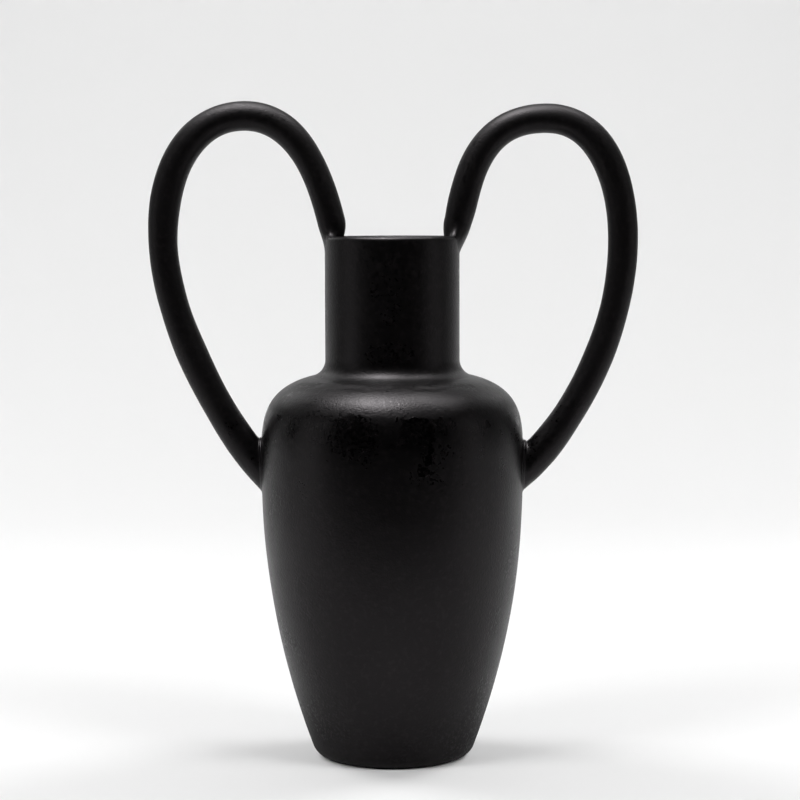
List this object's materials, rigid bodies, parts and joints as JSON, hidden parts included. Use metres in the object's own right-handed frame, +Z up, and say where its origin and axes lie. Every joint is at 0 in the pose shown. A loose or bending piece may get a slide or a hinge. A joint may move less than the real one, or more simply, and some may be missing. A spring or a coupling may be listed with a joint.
{
  "type": "ceramic vase",
  "caption": "Tall black ceramic vase of amphora shape with a straight neck and two looped rod handles that stand on the rim and land on the belly.",
  "frame": {"origin": "middle of the foot, on the surface the vase stands on", "axes": "+Z up along the axis of the vase, +X towards the right handle seen from the front, +Y away from the viewer of the picture"},
  "size_m": [0.2622, 0.1408, 0.3529],
  "materials": {
    "black_glaze": "satin matte black glaze with a fine sandy speckle",
    "bare_foot": "black glaze down to the foot, wiped bare dark clay on the foot ring and recess"
  },
  "bodies": {
    "root": {"base_floor": "bare_foot", "body_wall": "black_glaze", "neck_join_coil": "black_glaze", "neck_collar": "black_glaze", "left_handle": "black_glaze", "left_upper_join": "black_glaze", "left_lower_join": "black_glaze", "right_handle": "black_glaze", "right_upper_join": "black_glaze", "right_lower_join": "black_glaze"}
  },
  "joints": []
}
